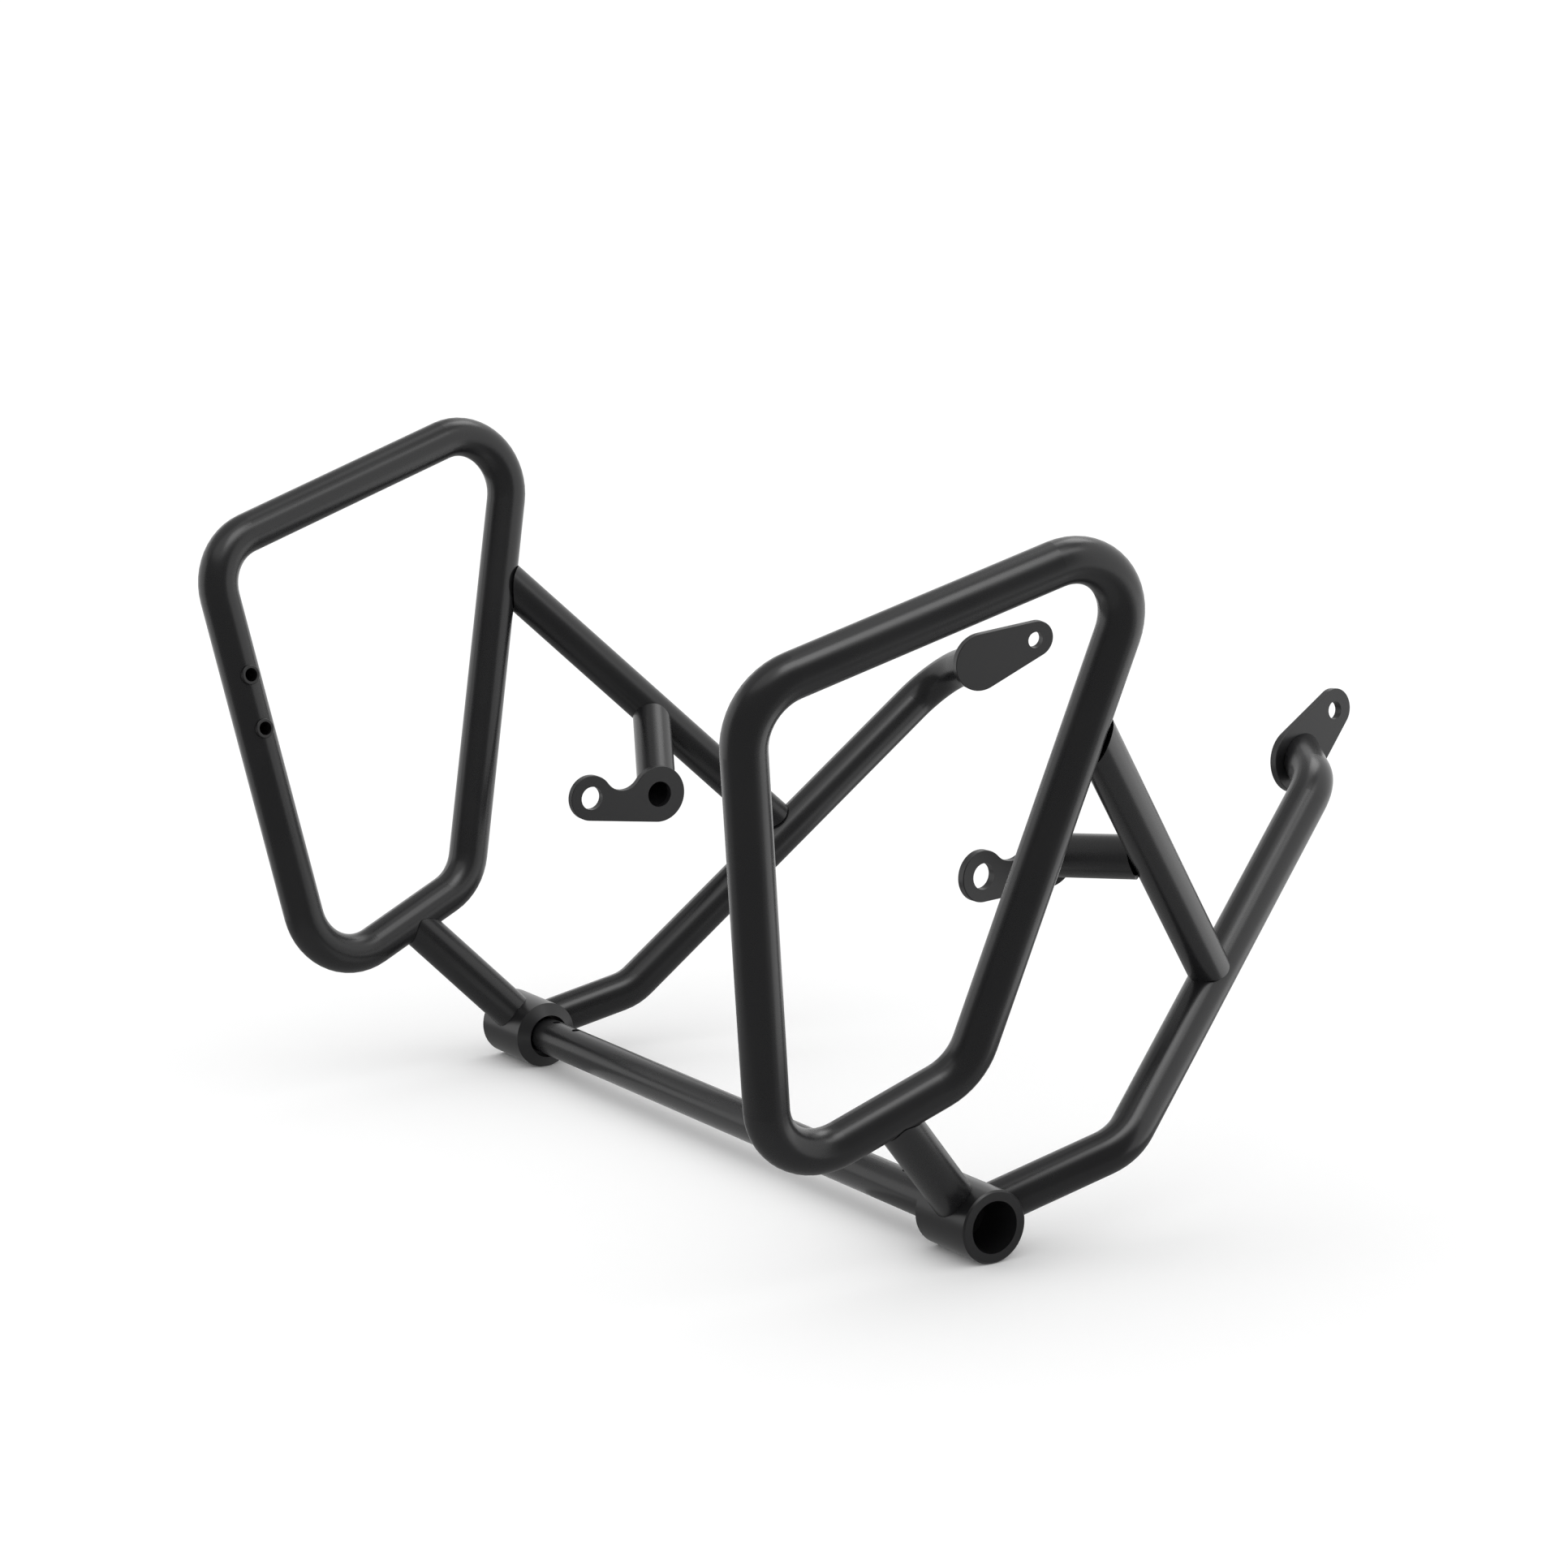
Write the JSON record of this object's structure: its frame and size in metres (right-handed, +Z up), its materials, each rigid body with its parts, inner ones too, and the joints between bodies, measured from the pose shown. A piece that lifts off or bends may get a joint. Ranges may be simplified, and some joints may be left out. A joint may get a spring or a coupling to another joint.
{
  "type": "motorcycle crash bars",
  "caption": "Bent-tube engine guard loops joined by a cross tube with end collars, struts, rear stays and drilled plates, bolted round a motorcycle's engine.",
  "frame": {"origin": "middle of the cross tube's axis", "axes": "+X along the cross tube to the rider's left, +Y to the rear of the motorcycle, +Z up"},
  "size_m": [0.687, 0.5483, 0.4108],
  "materials": {
    "tube_coat": "satin black powder coat",
    "collar_coat": "satin black powder coat",
    "plate_coat": "satin black powder coat",
    "bush_coat": "satin black powder coat"
  },
  "bodies": {
    "root": {"cross_tube": "tube_coat", "collar_left": "collar_coat", "bush_upper_left": "bush_coat", "bush_lower_left": "bush_coat", "guard_loop_left": "tube_coat", "frame_tab_left": "plate_coat", "rear_stay_left": "tube_coat", "lower_stub_left": "tube_coat", "strut_left": "tube_coat", "engine_bracket_left": "plate_coat", "bracket_arm_left": "tube_coat", "collar_right": "collar_coat", "bush_upper_right": "bush_coat", "bush_lower_right": "bush_coat", "guard_loop_right": "tube_coat", "frame_tab_right": "plate_coat", "rear_stay_right": "tube_coat", "lower_stub_right": "tube_coat", "strut_right": "tube_coat", "engine_bracket_right": "plate_coat", "bracket_arm_right": "tube_coat"}
  },
  "joints": []
}
